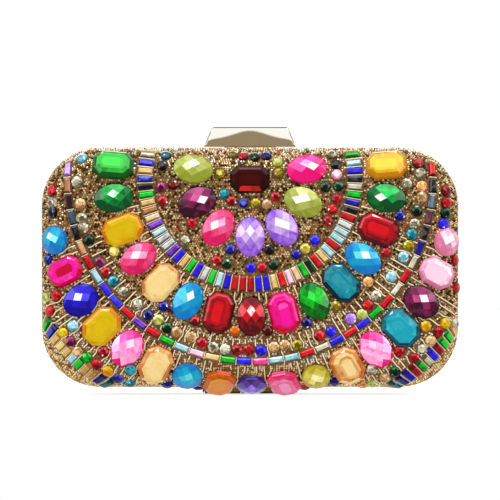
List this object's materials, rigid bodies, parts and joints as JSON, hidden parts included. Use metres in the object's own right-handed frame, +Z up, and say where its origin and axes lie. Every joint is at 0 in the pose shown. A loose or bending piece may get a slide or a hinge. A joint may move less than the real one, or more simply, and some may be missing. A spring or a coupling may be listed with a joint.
{
  "type": "box clutch bag",
  "caption": "Hard box clutch with beaded half shells, rings of faceted jewels and baguette arcs, hinged along the bottom, with a sprung clasp bar on top.",
  "frame": {"origin": "middle of the bounding box's underside, where the bag stands on its bottom jewels", "axes": "+X to the right as the front is seen, -Y out of the jewelled front, +Z up towards the clasp bar"},
  "size_m": [0.2, 0.0518, 0.129],
  "materials": {
    "shell": "pressed sheet metal, unpolished",
    "beads": "tiny rose-gold metallic beads set in dark adhesive",
    "gold": "pale gold plated, satin",
    "clasp_gold": "pale gold plated, mirror polished",
    "lining": "black grosgrain cloth on card",
    "steel": "plain",
    "baguettes": "many-coloured faceted baguettes between pale gold walls",
    "jewel_amber": "faceted acrylic stone with foil back, in a thin gold rim",
    "jewel_blush": "faceted acrylic stone with foil back, in a thin gold rim",
    "jewel_cyan": "faceted acrylic stone with foil back, in a thin gold rim",
    "jewel_emerald": "faceted acrylic stone with foil back, in a thin gold rim",
    "jewel_garnet": "faceted acrylic stone with foil back, in a thin gold rim",
    "jewel_green": "faceted acrylic stone with foil back, in a thin gold rim",
    "jewel_lemon": "faceted acrylic stone with foil back, in a thin gold rim",
    "jewel_magenta": "faceted acrylic stone with foil back, in a thin gold rim",
    "jewel_peach": "faceted acrylic stone with foil back, in a thin gold rim",
    "jewel_plum": "faceted acrylic stone with foil back, in a thin gold rim",
    "jewel_red": "faceted acrylic stone with foil back, in a thin gold rim",
    "jewel_rose": "faceted acrylic stone with foil back, in a thin gold rim",
    "jewel_royal": "faceted acrylic stone with foil back, in a thin gold rim",
    "jewel_teal": "faceted acrylic stone with foil back, in a thin gold rim",
    "jewel_turquoise": "faceted acrylic stone with foil back, in a thin gold rim",
    "jewel_yellow": "faceted acrylic stone with foil back, in a thin gold rim"
  },
  "bodies": {
    "rear_half": {"rear_shell": "shell", "rear_pave": "beads", "rear_frame": "gold", "rear_lining": "lining", "slip_pocket": "lining", "hinge_rear_leaf": "gold", "hinge_pin": "steel", "lock_base": "gold", "lock_screw_left": "steel", "lock_screw_right": "steel", "clasp_pin": "steel", "clasp_spring": "steel"},
    "front_half": {"front_shell": "shell", "front_pave": "beads", "front_frame": "gold", "front_lining": "lining", "hinge_front_leaf": "gold", "strike_plate": "gold", "inner_baguette_band": "baguettes", "outer_baguette_band": "baguettes", "left_corner_band": "baguettes", "right_corner_band": "baguettes", "centre_jewel": "jewel_garnet", "middle_jewel_01": "jewel_yellow", "middle_jewel_02": "jewel_emerald", "middle_jewel_03": "jewel_red", "middle_jewel_04": "jewel_cyan", "middle_jewel_05": "jewel_teal", "middle_jewel_06": "jewel_green", "middle_jewel_07": "jewel_magenta", "middle_jewel_08": "jewel_red", "middle_jewel_09": "jewel_red", "middle_jewel_10": "jewel_cyan", "middle_jewel_11": "jewel_peach", "middle_jewel_12": "jewel_rose", "middle_jewel_13": "jewel_amber", "middle_jewel_14": "jewel_emerald", "middle_jewel_15": "jewel_green", "outer_jewel_01": "jewel_blush", "outer_jewel_02": "jewel_blush", "outer_jewel_03": "jewel_plum", "outer_jewel_04": "jewel_turquoise", "outer_jewel_05": "jewel_rose", "outer_jewel_06": "jewel_peach", "outer_jewel_07": "jewel_lemon", "outer_jewel_08": "jewel_rose", "outer_jewel_09": "jewel_plum", "outer_jewel_10": "jewel_amber", "outer_jewel_11": "jewel_cyan", "outer_jewel_12": "jewel_peach", "outer_jewel_13": "jewel_rose", "outer_jewel_14": "jewel_amber", "outer_jewel_15": "jewel_royal", "outer_jewel_16": "jewel_magenta", "outer_jewel_17": "jewel_cyan"},
    "clasp": {"clasp_bar": "clasp_gold"}
  },
  "joints": [
    {"name": "front_opening", "type": "hinge", "parent": "rear_half", "child": "front_half", "pos_m": [0, 0.00116, 0.00197], "axis": [1, 0, 0], "range_deg": [0, 85]},
    {"name": "clasp_tilt", "type": "hinge", "parent": "rear_half", "child": "clasp", "pos_m": [0, 0.00356, 0.12197], "axis": [-1, 0, 0], "range_deg": [0, 12], "stiffness_Nm_per_rad": 0.05, "springref_deg": -17.19}
  ]
}
